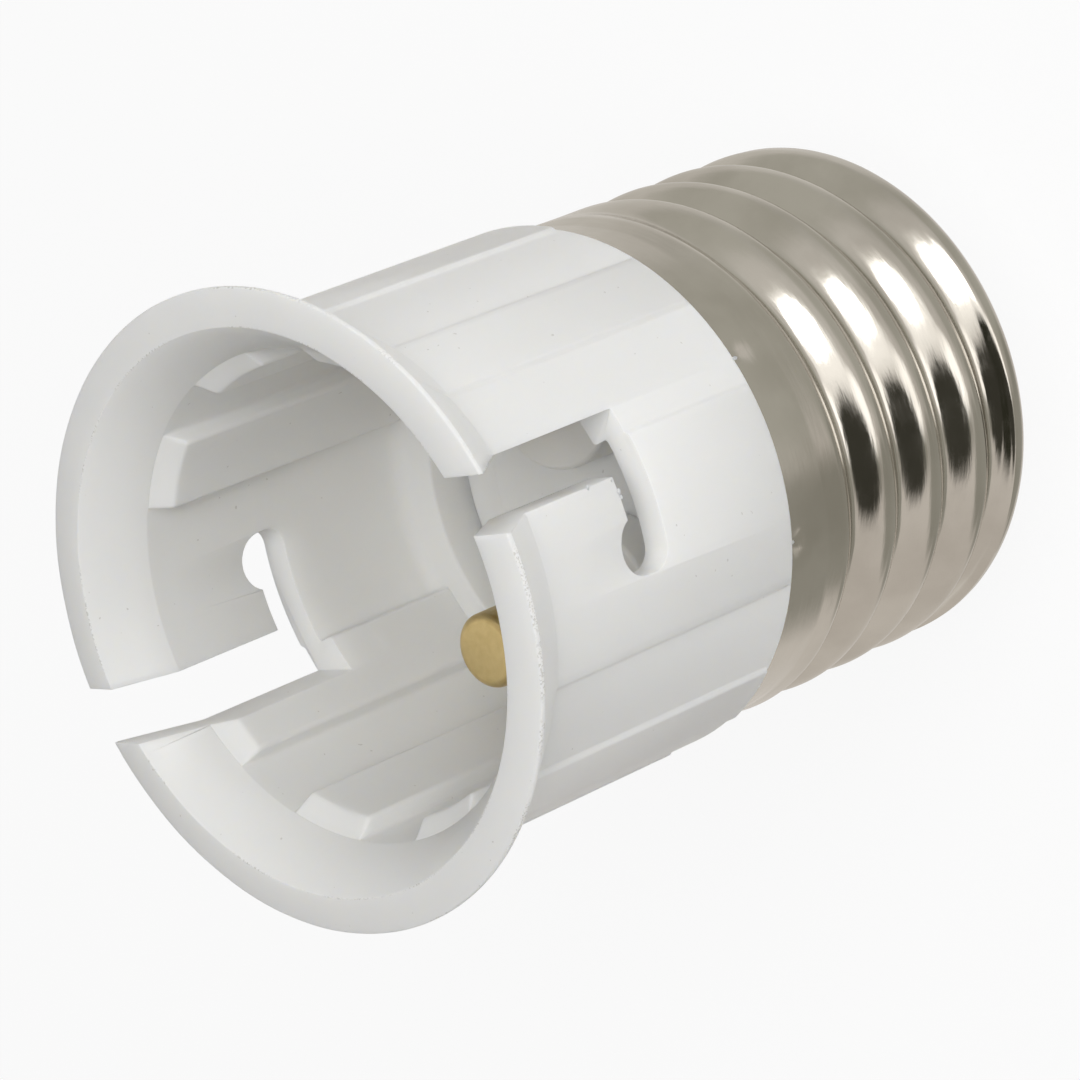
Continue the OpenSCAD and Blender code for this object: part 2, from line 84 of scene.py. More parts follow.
class Graph:
    """A short way to add and join shader nodes."""

    def __init__(self, owner: bpy.types.Material | bpy.types.World) -> None:
        """Starts from a cleared node tree.

        Args:
            owner: the material or world whose tree is built.
        """
        owner.use_nodes = True
        self.tree = owner.node_tree
        self.tree.nodes.clear()

    def add(self, kind: str, **values: object) -> bpy.types.Node:
        """Adds one node.

        Args:
            kind: Blender's type name of the node.
            values: settings by attribute name, or socket values by input name.

        Returns:
            The new node.
        """
        node = self.tree.nodes.new(kind)
        for key, value in values.items():
            name = key.replace("_", " ")
            if hasattr(node, key):
                setattr(node, key, value)
            elif name in node.inputs:
                node.inputs[name].default_value = value
            else:
                raise KeyError(f"{kind} has no {key}")
        return node

    def join(self, out: bpy.types.NodeSocket, into: bpy.types.NodeSocket) -> None:
        """Joins an output socket to an input socket.

        Args:
            out: the socket that gives the value.
            into: the socket that takes it.
        """
        self.tree.links.new(out, into)

    def math(self, operation: str, a: object, b: object = None) -> bpy.types.NodeSocket:
        """Adds a Math node.

        Args:
            operation: the node's operation.
            a: a socket or a number.
            b: a socket or a number, where the operation has two.

        Returns:
            The node's output.
        """
        node = self.add("ShaderNodeMath", operation=operation)
        for place, value in enumerate((a, b)):
            if isinstance(value, bpy.types.NodeSocket):
                self.join(value, node.inputs[place])
            elif value is not None:
                node.inputs[place].default_value = value
        return node.outputs[0]

    def span(self, value: bpy.types.NodeSocket, low: float, high: float,
             to: tuple[float, float] = (0.0, 1.0)) -> bpy.types.NodeSocket:
        """Maps a value smoothly from one range to another.

        Args:
            value: the value.
            low: where the range starts.
            high: where it ends.
            to: what the two ends become.

        Returns:
            The mapped value.
        """
        node = self.add("ShaderNodeMapRange", interpolation_type="SMOOTHSTEP")
        for place, number in enumerate((low, high, *to), 1):
            node.inputs[place].default_value = number
        self.join(value, node.inputs[0])
        return node.outputs[0]

    def ramp(self, value: bpy.types.NodeSocket, stops: tuple) -> bpy.types.NodeSocket:
        """Adds a Color Ramp.

        Args:
            value: the factor.
            stops: places and colours, lowest first.

        Returns:
            The colour output.
        """
        node = self.add("ShaderNodeValToRGB")
        points = node.color_ramp.elements
        while len(points) < len(stops):
            points.new(1.0)
        for point, (place, colour) in zip(points, stops):
            point.position = place
            point.color = (*colour, 1.0)
        self.join(value, node.inputs["Fac"])
        return node.outputs["Color"]

    def mix(self, fac: object, a: object, b: object) -> bpy.types.NodeSocket:
        """Mixes two colours.

        Args:
            fac: a socket or a number.
            a: the first colour, a socket or a tuple.
            b: the second colour, a socket or a tuple.

        Returns:
            The mixed colour.
        """
        node = self.add("ShaderNodeMix", data_type="RGBA")
        for place, value in ((0, fac), (6, a), (7, b)):
            if isinstance(value, bpy.types.NodeSocket):
                self.join(value, node.inputs[place])
            elif isinstance(value, tuple):
                node.inputs[place].default_value = (*value, 1.0)
            else:
                node.inputs[place].default_value = value
        return node.outputs[2]

    def coords(self) -> bpy.types.NodeSocket:
        """Gives Object coordinates in metres."""
        return self.add("ShaderNodeTexCoord").outputs["Object"]

    def axis_parts(self, shift_mm: float = 0.0) -> tuple[bpy.types.NodeSocket, bpy.types.NodeSocket]:
        """Gives the distance from an upright axis and the height, both in metres.

        Args:
            shift_mm: where the axis stands along X, in millimetres.

        Returns:
            The distance and the height.
        """
        split = self.add("ShaderNodeSeparateXYZ")
        self.join(self.coords(), split.inputs[0])
        x, y, z = split.outputs
        x = self.math("SUBTRACT", x, shift_mm * MM)
        square = self.math("ADD", self.math("MULTIPLY", x, x), self.math("MULTIPLY", y, y))
        return self.math("SQRT", square), z

    def noise(self, scale: float, detail: float, stretch: tuple | None = None) -> bpy.types.NodeSocket:
        """Adds a noise on Object coordinates.

        Args:
            scale: noise cells per metre.
            detail: octaves.
            stretch: scale along X, Y and Z, for grain with a direction.

        Returns:
            The noise value.
        """
        node = self.add("ShaderNodeTexNoise", Scale=scale, Detail=detail)
        where = self.coords()
        if stretch is not None:
            mapping = self.add("ShaderNodeMapping", Scale=stretch)
            self.join(where, mapping.inputs["Vector"])
            where = mapping.outputs["Vector"]
        self.join(where, node.inputs["Vector"])
        return node.outputs["Fac"]

    def bump(self, height: bpy.types.NodeSocket, strength: float, depth: float) -> bpy.types.NodeSocket:
        """Adds a bump.

        Args:
            height: the height value.
            strength: the bump's strength.
            depth: the height of one unit, in metres.

        Returns:
            The normal.
        """
        node = self.add("ShaderNodeBump", Strength=strength, Distance=depth)
        self.join(height, node.inputs["Height"])
        return node.outputs["Normal"]

    def finish(self, shader: bpy.types.Node, out: str = "ShaderNodeOutputMaterial") -> None:
        """Joins the last shader to the tree's output.

        Args:
            shader: the last shader.
            out: the type of the output node.
        """
        self.join(shader.outputs[0], self.add(out).inputs["Surface"])


@dataclass(frozen=True)
class MouldedWhite:
    """Semi-gloss white moulding, a little warm where it is dull, with fine dirt along its lip.

    Attributes:
        name: the material's name.
        colour: its main colour.
        dull: the colour of its duller patches.
        dirt: the colour of specks.
        deep: the share of light that passes into the moulding.
        deep_mm: how far it passes.
        deep_shares: that distance's shares in red, green and blue.
        lip_radii_mm: radii of the lip's two edges, where dirt catches.
        lip_z_mm: height above which they lie.
        lip_line_mm: half the width of the dirt's line, where it is whole and where it ends.
        lip_share: how strongly the line shows.
        speck_share: how strongly the rare specks elsewhere show.
        gloss: the lowest and highest roughness.
        skin_mm: height of the moulding's faint unevenness.
    """

    name: str = "moulded_white"
    colour: tuple = (0.87, 0.87, 0.856)
    dull: tuple = (0.83, 0.83, 0.815)
    dirt: tuple = (0.36, 0.34, 0.29)
    deep: float = 0.5
    deep_mm: float = 1.0
    deep_shares: tuple = (1.0, 0.92, 0.75)
    lip_radii_mm: tuple = (13.97, 15.78)
    lip_z_mm: float = 47.4
    lip_line_mm: tuple = (0.01, 0.07)
    lip_share: float = 0.45
    speck_share: float = 0.35
    gloss: tuple = (0.28, 0.36)
    skin_mm: float = 0.01

    def make(self) -> bpy.types.Material:
        """Builds the material."""
        material = bpy.data.materials.new(self.name)
        g = Graph(material)
        radius, height = g.axis_parts()
        base = g.mix(g.noise(110.0, 2.0), self.colour, self.dull)
        near = None
        for r in self.lip_radii_mm:
            off = g.math("ABSOLUTE", g.math("SUBTRACT", radius, r * MM))
            band = g.span(off, self.lip_line_mm[0] * MM, self.lip_line_mm[1] * MM, (1.0, 0.0))
            near = band if near is None else g.math("MAXIMUM", near, band)
        near = g.math("MULTIPLY", near, g.math("GREATER_THAN", height, self.lip_z_mm * MM))
        dots = g.span(g.noise(9000.0, 1.0), 0.5, 0.6)
        patches = g.span(g.noise(330.0, 2.0), 0.42, 0.6)
        line = g.math("MULTIPLY", g.math("MULTIPLY", near, dots), patches)
        rare = g.span(g.noise(4200.0, 0.0), 0.86, 0.89)
        marks = g.math("MAXIMUM", g.math("MULTIPLY", line, self.lip_share),
                       g.math("MULTIPLY", rare, self.speck_share))
        base = g.mix(marks, base, self.dirt)
        rough = g.span(g.noise(260.0, 2.0), 0.3, 0.7, self.gloss)
        shader = g.add("ShaderNodeBsdfPrincipled", IOR=1.5)
        shader.inputs["Subsurface Weight"].default_value = self.deep
        shader.inputs["Subsurface Radius"].default_value = self.deep_shares
        shader.inputs["Subsurface Scale"].default_value = self.deep_mm * MM
        g.join(base, shader.inputs["Base Color"])
        g.join(rough, shader.inputs["Roughness"])
        g.join(g.bump(g.noise(900.0, 2.0), 0.06, self.skin_mm * MM), shader.inputs["Normal"])
        g.finish(shader)
        return material


@dataclass(frozen=True)
class RolledNickel:
    """Bright nickel plate on rolled sheet, with faint rolling lines round the axis.

    Attributes:
        name: the material's name.
        colour: its main colour.
        dull: the colour of its duller patches.
        gloss: the lowest and highest roughness.
        grain: how the grain of the roughness is stretched along X, Y and Z.
        lines: how the rolling lines are stretched along X, Y and Z.
        line_mm: height of the rolling lines.
    """

    name: str = "rolled_nickel"
    colour: tuple = (0.7, 0.67, 0.62)
    dull: tuple = (0.6, 0.57, 0.52)
    gloss: tuple = (0.08, 0.18)
    grain: tuple = (1.0, 1.0, 2.5)
    lines: tuple = (0.4, 0.4, 3.5)
    line_mm: float = 0.02

    def make(self) -> bpy.types.Material:
        """Builds the material."""
        material = bpy.data.materials.new(self.name)
        g = Graph(material)
        base = g.mix(g.span(g.noise(180.0, 4.0), 0.35, 0.7), self.colour, self.dull)
        rough = g.span(g.noise(700.0, 3.0, self.grain), 0.3, 0.7, self.gloss)
        shader = g.add("ShaderNodeBsdfPrincipled", Metallic=1.0)
        g.join(base, shader.inputs["Base Color"])
        g.join(rough, shader.inputs["Roughness"])
        g.join(g.bump(g.noise(1500.0, 4.0, self.lines), 0.5, self.line_mm * MM), shader.inputs["Normal"])
        g.finish(shader)
        return material


@dataclass(frozen=True)
class Metal:
    """A plain metal finish with a fine grain, and turning marks where it has an axis.

    Attributes:
        name: the material's name.
        colour: its main colour.
        dull: the colour of its duller patches.
        rough: the lowest and highest roughness.
        grain: noise cells per metre.
        turned_at_mm: place of the turning axis along X, if the piece is turned.
        ring_mm: distance from one turning mark to the next.
        ring_share: height of the marks, as a share of the grain's.
        grain_mm: height of the grain.
    """

    name: str
    colour: tuple
    dull: tuple
    rough: tuple
    grain: float = 1500.0
    turned_at_mm: float | None = None
    ring_mm: float = 0.11
    ring_share: float = 0.35
    grain_mm: float = 0.02

    def make(self) -> bpy.types.Material:
        """Builds the material."""
        material = bpy.data.materials.new(self.name)
        g = Graph(material)
        value = g.noise(self.grain, 4.0)
        height = value
        if self.turned_at_mm is not None:
            radius, _ = g.axis_parts(self.turned_at_mm)
            rings = g.math("SINE", g.math("MULTIPLY", radius, FULL / (self.ring_mm * MM)))
            height = g.math("ADD", value, g.math("MULTIPLY", rings, self.ring_share))
        shader = g.add("ShaderNodeBsdfPrincipled", Metallic=1.0)
        g.join(g.mix(value, self.colour, self.dull), shader.inputs["Base Color"])
        g.join(g.span(value, 0.3, 0.7, self.rough), shader.inputs["Roughness"])
        g.join(g.bump(height, 0.2, self.grain_mm * MM), shader.inputs["Normal"])
        g.finish(shader)
        return material


@dataclass(frozen=True)
class LeadCover:
    """Extruded lead cover, slightly uneven.

    Attributes:
        name: the material's name.
        colour: its colour.
        dark_share: how much of the colour its darker patches keep.
        skin_mm: height of its unevenness.
    """

    name: str
    colour: tuple
    dark_share: float = 0.7
    skin_mm: float = 0.03

    def make(self) -> bpy.types.Material:
        """Builds the material."""
        material = bpy.data.materials.new(self.name)
        g = Graph(material)
        value = g.noise(1200.0, 3.0)
        dark = tuple(c * self.dark_share for c in self.colour)
        shader = g.add("ShaderNodeBsdfPrincipled", Roughness=0.45)
        g.join(g.mix(value, self.colour, dark), shader.inputs["Base Color"])
        g.join(g.bump(value, 0.15, self.skin_mm * MM), shader.inputs["Normal"])
        g.finish(shader)
        return material


WELD = 1e-7
NEAR_MM = 1e-3
BRASS_COLOURS = ((0.7, 0.55, 0.27), (0.58, 0.44, 0.2))
PLUNGER_X_MM = 5.5
PLUNGER_FACE_MM = {Side.RIGHT: 35.3, Side.LEFT: 35.9}

WHITE = MouldedWhite()
NICKEL = RolledNickel()
CONTACT = Metal("stamped_nickel", (0.7, 0.67, 0.62), (0.58, 0.55, 0.5), (0.16, 0.3), 1500.0, 0.0)
BRASS = Metal("pressed_brass", *BRASS_COLOURS, (0.3, 0.45), 2200.0)
PINS = {side: Metal(f"turned_brass_{side.word}", *BRASS_COLOURS, (0.3, 0.42), 2200.0,
                    side.value * PLUNGER_X_MM) for side in Side}
SPRING = Metal("drawn_spring_wire", (0.55, 0.56, 0.58), (0.42, 0.43, 0.45), (0.2, 0.35))
SOLDER = Metal("dull_solder", (0.6, 0.61, 0.62), (0.45, 0.46, 0.47), (0.3, 0.5))
RED = LeadCover("red_lead_cover", (0.5, 0.03, 0.025))
BLUE = LeadCover("blue_lead_cover", (0.03, 0.08, 0.34))


def rounded(corners: list[tuple[float, float, float]], steps: int = 5) -> list[tuple[float, float]]:
    """Rounds the corners of an outline.

    Args:
        corners: radius, height and rounding of each corner; the ends stay sharp.
        steps: steps in each rounding.

    Returns:
        Radius and height of each point.
    """
    points = []
    for i, (r, z, rounding) in enumerate(corners):
        if rounding == 0 or i in (0, len(corners) - 1):
            points.append((r, z))
            continue
        here = np.array((r, z))
        back, on = (np.array(corners[j][:2]) - here for j in (i - 1, i + 1))
        back, on = back / np.linalg.norm(back), on / np.linalg.norm(on)
        half = math.acos(float(np.clip(back @ on, -1, 1))) / 2
        middle = (back + on) / np.linalg.norm(back + on)
        centre = here + middle * rounding / math.sin(half)
        first = here + back * rounding / math.tan(half) - centre
        last = here + on * rounding / math.tan(half) - centre
        sweep = math.pi - 2 * half
        for s in range(steps + 1):
            turn = sweep * s / steps
            arm = (first * math.sin(sweep - turn) + last * math.sin(turn)) / math.sin(sweep)
            points.append(tuple(float(v) for v in centre + arm))
    return points


def arc(centre: tuple[float, float], radius: float, start: float, end: float,
        steps: int = 12) -> list[tuple[float, float]]:
    """Gives the points of an arc.

    Args:
        centre: its centre.
        radius: its radius.
        start: its first angle in degrees.
        end: its last angle in degrees.
        steps: its steps.

    Returns:
        The points, both ends included.
    """
    angles = np.radians(np.linspace(start, end, steps + 1))
    return [(centre[0] + radius * math.cos(a), centre[1] + radius * math.sin(a)) for a in angles]


def smoothstep(value: np.ndarray) -> np.ndarray:
    """Eases a share from 0 to 1, flat at both ends.

    Args:
        value: the share.

    Returns:
        The eased share.
    """
    value = np.clip(value, 0, 1)
    return value * value * (3 - 2 * value)


class Bench:
    """Modelling steps that every sub-assembly uses."""

    @staticmethod
    def clear() -> None:
        """Deselects everything and leaves edit mode."""
        if bpy.context.object is not None and bpy.context.object.mode != "OBJECT":
            bpy.ops.object.mode_set(mode="OBJECT")
        bpy.ops.object.select_all(action="DESELECT")

    @staticmethod
    def pick(*pieces: bpy.types.Object) -> None:
        """Selects pieces alone and makes the first one active.

        Args:
            pieces: the pieces.
        """
        Bench.clear()
        for piece in pieces:
            piece.select_set(True)
        bpy.context.view_layer.objects.active = pieces[0]

    @staticmethod
    def path(name: str, points: list[Vector]) -> bpy.types.Object:
        """Draws a path of edges and stays in edit mode with all of it selected.

        Args:
            name: the new piece's name.
            points: the path's points in metres.

        Returns:
            The piece.
        """
        Bench.clear()
        bpy.ops.mesh.primitive_plane_add(size=MM, location=(0, 0, 0))
        piece = bpy.context.object
        piece.name = name
        bpy.ops.object.mode_set(mode="EDIT")
        bpy.ops.mesh.select_all(action="SELECT")
        bpy.ops.mesh.merge(type="CENTER")
        bpy.ops.transform.translate(value=points[0])
        for here, there in zip(points, points[1:]):
            bpy.ops.mesh.extrude_region_move(TRANSFORM_OT_translate={"value": there - here})
        bpy.ops.mesh.select_all(action="SELECT")
        return piece

    @staticmethod
    def lathe(name: str, points_mm: list[tuple[float, float]], steps: int) -> bpy.types.Object:
        """Turns a profile round the Z axis.

        Args:
            name: the new piece's name.
            points_mm: radius and height of each profile point, in order.
            steps: steps in the full turn.

        Returns:
            The turned piece, with its doubles merged.
        """
        piece = Bench.path(name, [Vector((r * MM, 0, z * MM)) for r, z in points_mm])
        bpy.ops.mesh.remove_doubles(threshold=WELD)
        bpy.ops.mesh.spin(steps=steps, angle=FULL, center=(0, 0, 0), axis=(0, 0, 1))
        bpy.ops.mesh.select_all(action="SELECT")
        bpy.ops.mesh.remove_doubles(threshold=WELD)
        bpy.ops.mesh.normals_make_consistent(inside=False)
        bpy.ops.object.mode_set(mode="OBJECT")
        return piece

    @staticmethod
    def prism(name: str, points_mm: list[tuple[float, float]], low_mm: float,
              high_mm: float) -> bpy.types.Object:
        """Draws an outline in the XZ plane and stretches it along Y.

        Args:
            name: the new piece's name.
            points_mm: X and Z of each point.
            low_mm: where it starts along Y.
            high_mm: where it ends.

        Returns:
            The closed prism.
        """
        piece = Bench.path(name, [Vector((x * MM, low_mm * MM, z * MM)) for x, z in points_mm])
        bpy.ops.mesh.edge_face_add()
        bpy.ops.mesh.extrude_region_move(
            TRANSFORM_OT_translate={"value": Vector((0, (high_mm - low_mm) * MM, 0))})
        bpy.ops.mesh.select_all(action="SELECT")
        bpy.ops.mesh.normals_make_consistent(inside=False)
        bpy.ops.object.mode_set(mode="OBJECT")
        return piece

    @staticmethod
    def spots(piece: bpy.types.Object) -> np.ndarray:
        """Gives the places of a piece's vertices.

        Args:
            piece: the piece.

        Returns:
            The places in millimetres, one row each.
        """
        flat = np.empty(len(piece.data.vertices) * 3)
        piece.data.vertices.foreach_get("co", flat)
        return flat.reshape(-1, 3) / MM

    @staticmethod
    def put(piece: bpy.types.Object, spots: np.ndarray) -> None:
        """Moves a piece's vertices.

        Args:
            piece: the piece.
            spots: their new places in millimetres, one row each.
        """
        piece.data.vertices.foreach_set("co", (spots * MM).ravel())
        piece.data.update()

    @staticmethod
    def shift(piece: bpy.types.Object, x_mm: float) -> None:
        """Moves a piece's vertices along X.

        Args:
            piece: the piece.
            x_mm: how far.
        """
        spots = Bench.spots(piece)
        spots[:, 0] += x_mm
        Bench.put(piece, spots)

    @staticmethod
    def modify(piece: bpy.types.Object, kind: str, **values: object) -> None:
        """Adds a modifier and applies it.

        Args:
            piece: the piece that is changed.
            kind: the modifier's type.
            values: its settings.
        """
        Bench.pick(piece)
        modifier = piece.modifiers.new(kind.lower(), kind)
        for key, value in values.items():
            setattr(modifier, key, value)
        bpy.ops.object.modifier_apply(modifier=modifier.name)

    @staticmethod
    def cut(piece: bpy.types.Object, cutter: bpy.types.Object) -> None:
        """Cuts one piece out of another and throws the cutter away.

        Args:
            piece: the piece that is cut.
            cutter: the piece that cuts.
        """
        Bench.modify(piece, "BOOLEAN", object=cutter, operation="DIFFERENCE", solver="EXACT")
        bpy.data.objects.remove(cutter, do_unlink=True)

    @staticmethod
    def join(name: str, pieces: list[bpy.types.Object]) -> bpy.types.Object:
        """Joins pieces into the first one.

        Args:
            name: the joined piece's name.
            pieces: the pieces.

        Returns:
            The joined piece.
        """
        Bench.pick(*pieces)
        bpy.ops.object.join()
        pieces[0].name = name
        return pieces[0]

    @staticmethod
    def smooth(piece: bpy.types.Object, angle: float = 30.0) -> None:
        """Shades a piece smooth, but for sharp edges.

        Args:
            piece: the piece.
            angle: the angle in degrees from which an edge is sharp.
        """
        Bench.pick(piece)
        bpy.ops.object.shade_smooth_by_angle(angle=math.radians(angle))

    @staticmethod
    def dress(piece: bpy.types.Object, material: bpy.types.Material) -> None:
        """Gives a piece one material.

        Args:
            piece: the piece.
            material: its material.
        """
        piece.data.materials.clear()
        piece.data.materials.append(material)

    @staticmethod
    def seat(piece: bpy.types.Object, body: str, slot: Slot, finish: str, node: str) -> None:
        """Dresses a finished piece and puts it into the frame.

        Args:
            piece: the finished piece.
            body: the body that it rides on.
            slot: not used.
            finish: the name of its material.
            node: the node that it stands for.
        """
        Bench.dress(piece, bpy.data.materials[finish])
        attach(piece, body)
        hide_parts(node)
        LOG.info("%s rides on %s, %d faces", piece.name, body, len(piece.data.polygons))


@dataclass
class SocketBody:
    """The white moulding: flared mouth, ribbed wall, floor ledge and the neck. Sizes in millimetres."""

    mouth_z: float = 48.0
    lip_in_r: float = 13.95
    lip_out_r: float = 15.8
    lip_drop: float = 0.27
    lip_land: float = 0.25
    flare_z: float = 45.07
    flare_back_z: float = 44.1
    body_r: float = 13.45
    body_z: float = 27.0
    bore_r: float = 12.2
    floor_z: float = 27.4
    floor_fillet: float = 0.8
    recess_r: float = 9.9
    recess_edge: float = 0.15
    ledge_z: float = 24.8
    neck_r: float = 12.62
    neck_step_z: float = 24.4
    neck_low_r: float = 11.55
    neck_bore_r: float = 10.5
    neck_z: float = 14.5
    rib_r: float = 11.3
    rib_end_z: float = 44.97
    rib_places: tuple = (19.0, 57.0, 123.0, 161.0)
    rib_half: float = 10.0
    rib_round: float = 0.26
    rib_foot: float = 0.2
    panel_h: float = 0.22
    panels: tuple = ((0.0, 10.6), (39.6, 8.0), (90.0, 21.5), (140.4, 8.0))
    panel_ease: float = 0.16
    nib_z: float = 22.28
    nib_h: float = 0.35
    nib_half: float = 8.0
    nib_places: tuple = (90.0, 210.0, 330.0)
    slot_z: float = 36.0
    cross_z: float = 38.15
    leg_in: float = 3.445
    leg_out: float = 6.195
    seat_r: float = 1.45
    seat_z: float = 37.58
    cross_end_r: float = 1.05
    edge: float = 0.035
    gate: tuple = (118.5, 32.95, 0.5, 0.09)
    step_deg: float = 1.7
    least_deg: float = 0.06
    burrs: tuple = ((3.42, 39.9, 0.1), (2.72, 38.13, 0.12), (2.45, 38.1, 0.08), (3.3, 38.3, 0.06))
    burr_shares: tuple = (1.4, 0.6, 0.9)
    wave_h: float = 0.012
    wave_reach: float = 0.4
    rib_row_offs: tuple = (0.02, 0, -0.3, -0.6, -0.75, -0.83, -0.9, -0.98, -1.1, -1.3)
    gate_row_shares: tuple = (2.2, 1.4, 0.9, 0.45, 0, -0.45, -0.9, -1.4, -2.2)
    foot_row_offs: tuple = (0.42, 0.34, 0.26, 0.18)

    def edges(self) -> list[tuple[float, list[float]]]:
        """Finds each rib, panel and nib edge.

        Returns:
            The edge's angle in degrees, and the places of its columns from it in degrees, outward.
        """
        round_off = [self.rib_round * (math.sin(a) - 1) for a in np.radians((0, 18, 36, 54, 72, 90))]
        foot_off = [self.rib_foot * (1 - math.sin(a)) + 0.03 for a in np.radians((90, 66, 42, 18, 0))]
        rib = [math.degrees(off / self.bore_r) for off in round_off + foot_off]
        wall = [math.degrees(off / self.body_r) for off in np.linspace(-1, 1, 5) * self.panel_ease]
        nib = [math.degrees(off / self.neck_bore_r) for off in (-0.02, 0.02)]
        found = []
        for turn in (0.0, 180.0):
            found += [(turn + place, self.rib_half, rib) for place in self.rib_places]
            found += [(turn + place, half, wall) for place, half in self.panels]
        found += [(place, self.nib_half, nib) for place in self.nib_places]
        return [(centre + side * half, [side * off for off in offs])
                for centre, half, offs in found for side in (-1, 1)]

    def columns(self) -> np.ndarray:
        """Gives the angles of the wall's columns, close together at each edge.

        Returns:
            The angles in degrees, in order.
        """
        marks = sorted({round((edge + off) % 360.0, 3) for edge, offs in self.edges() for off in offs})
        angles = []
        for mark, after in zip(marks, marks[1:] + [marks[0] + 360.0]):
            if angles and mark - angles[-1] < self.least_deg:
                continue
            count = max(1, math.ceil((after - mark) / self.step_deg))
            angles += [mark + (after - mark) * i / count for i in range(count)]
        return np.array(angles)

    def outline(self) -> list[tuple[float, float]]:
        """Gives the wall's outline, with extra rows where ribs, panels and nibs start and end.

        Returns:
            Radius and height of each point.
        """
        rib_rows = [self.rib_end_z + off for off in self.rib_row_offs]
        gate_rows = [self.gate[1] + self.gate[2] * off for off in self.gate_row_shares]
        return rounded(
            [(self.lip_in_r, self.mouth_z, 0),
             (self.lip_out_r, self.mouth_z - self.lip_drop, 0.1),
             (self.lip_out_r, self.mouth_z - self.lip_drop - self.lip_land, 0.1),
             (self.body_r, self.flare_back_z, 0.5)]
            + [(self.body_r, self.body_z + off, 0) for off in self.foot_row_offs]
            + [(self.body_r, self.body_z, 0.1), (self.neck_r, self.body_z, 0),
               (self.neck_r, self.neck_step_z, 0),
               (self.neck_low_r, self.neck_step_z - (self.neck_r - self.neck_low_r), 0),
               (self.neck_low_r, self.neck_z, 0.15), (self.neck_bore_r, self.neck_z, 0.15),
               (self.neck_bore_r, self.nib_z - 2 * self.nib_h, 0), (self.neck_bore_r, self.nib_z, 0),
               (self.neck_bore_r, self.nib_z + 0.01, 0), (self.neck_bore_r, self.ledge_z, 0),
               (self.recess_r, self.ledge_z, 0), (self.recess_r, self.floor_z, self.recess_edge),
               (self.bore_r, self.floor_z, self.floor_fillet)]
            + [(self.bore_r, z, 0) for z in sorted(gate_rows)]
            + [(self.bore_r, z, 0) for z in sorted(rib_rows)]
            + [(self.bore_r, self.flare_z, 0), (self.lip_in_r, self.mouth_z, 0)])

    @staticmethod
    def off_edge(angle: np.ndarray, centre: float, half: float, radius: float) -> np.ndarray:
        """Measures how far points lie outside an arc's nearer end.

        Args:
            angle: the points' angles in degrees.
            centre: the arc's middle.
            half: half the arc's width.
            radius: the wall's radius.

        Returns:
            The distances in millimetres along the wall.
        """
        gap = np.abs(np.mod(angle - centre + 180.0, 360.0) - 180.0) - half
        return np.radians(gap) * radius

    def rib_share(self, angle: np.ndarray) -> np.ndarray:
        """Gives the ribs' height.

        Args:
            angle: the points' angles in degrees.

        Returns:
            The height at each point, as a share of the full height.
        """
        high = self.bore_r - self.rib_r
        reach = self.rib_foot + 0.03
        share = np.zeros_like(angle)
        for place in (p + turn for p in self.rib_places for turn in (0.0, 180.0)):
            off = self.off_edge(angle, place, self.rib_half, self.bore_r)
            over = np.clip(off + self.rib_round, 0, self.rib_round)
            crown = high - self.rib_round + np.sqrt(self.rib_round ** 2 - over ** 2)
            foot = self.rib_foot - np.sqrt(self.rib_foot ** 2 - np.clip(reach - off, 0, self.rib_foot) ** 2)
            share = np.maximum(share, np.where(off <= 1e-3, crown, np.where(off < reach, foot, 0)) / high)
        return share

    def relief(self, spots: np.ndarray) -> np.ndarray:
        """Raises the ribs, the outer panels, the nibs and the small gate mark.

        Args:
            spots: places of the turned wall's points.

        Returns:
            Their new distance from the axis.
        """
        radius = np.hypot(spots[:, 0], spots[:, 1])
        angle = np.degrees(np.arctan2(spots[:, 1], spots[:, 0]))
        z = spots[:, 2]
        past = z - (self.rib_end_z - (self.bore_r - self.rib_r))
        rib_wall = self.rib_r + (past + np.sqrt(past ** 2 + 0.1 ** 2)) / 2
        in_bore = radius < self.bore_r + NEAR_MM
        inside = in_bore & (z > self.floor_z - NEAR_MM) & (z < self.flare_z - NEAR_MM)
        raised = np.where(inside, np.maximum(radius - rib_wall, 0) * self.rib_share(angle), 0)
        place, height, wide, deep = self.gate
        off = np.hypot(np.radians(angle - place) * self.bore_r, (height - z) * 0.8) / wide
        raised += np.where(inside, deep * np.exp(-off ** 4), 0)
        for centre in self.nib_places:
            held = self.off_edge(angle, centre, self.nib_half, self.neck_bore_r) < 0
            there = np.abs(radius - self.neck_bore_r) < NEAR_MM
            raised += np.where(held & there & (np.abs(z - self.nib_z) < NEAR_MM), self.nib_h, 0)
        panel = np.zeros_like(radius)
        for centre, half in ((c + turn, h) for c, h in self.panels for turn in (0.0, 180.0)):
            ease = -self.off_edge(angle, centre, half, self.body_r) / (2 * self.panel_ease) + 0.5
            panel = np.maximum(panel, smoothstep(ease))
        foot = smoothstep((z - self.body_z - 0.2) / 0.2)
        outside = (radius > self.body_r - 0.02) & (z > self.body_z + 0.15) & (z < self.mouth_z - 0.6)
        panel_wall = self.body_r + self.panel_h * panel * foot
        return np.where(outside, np.maximum(radius, panel_wall), radius - raised)

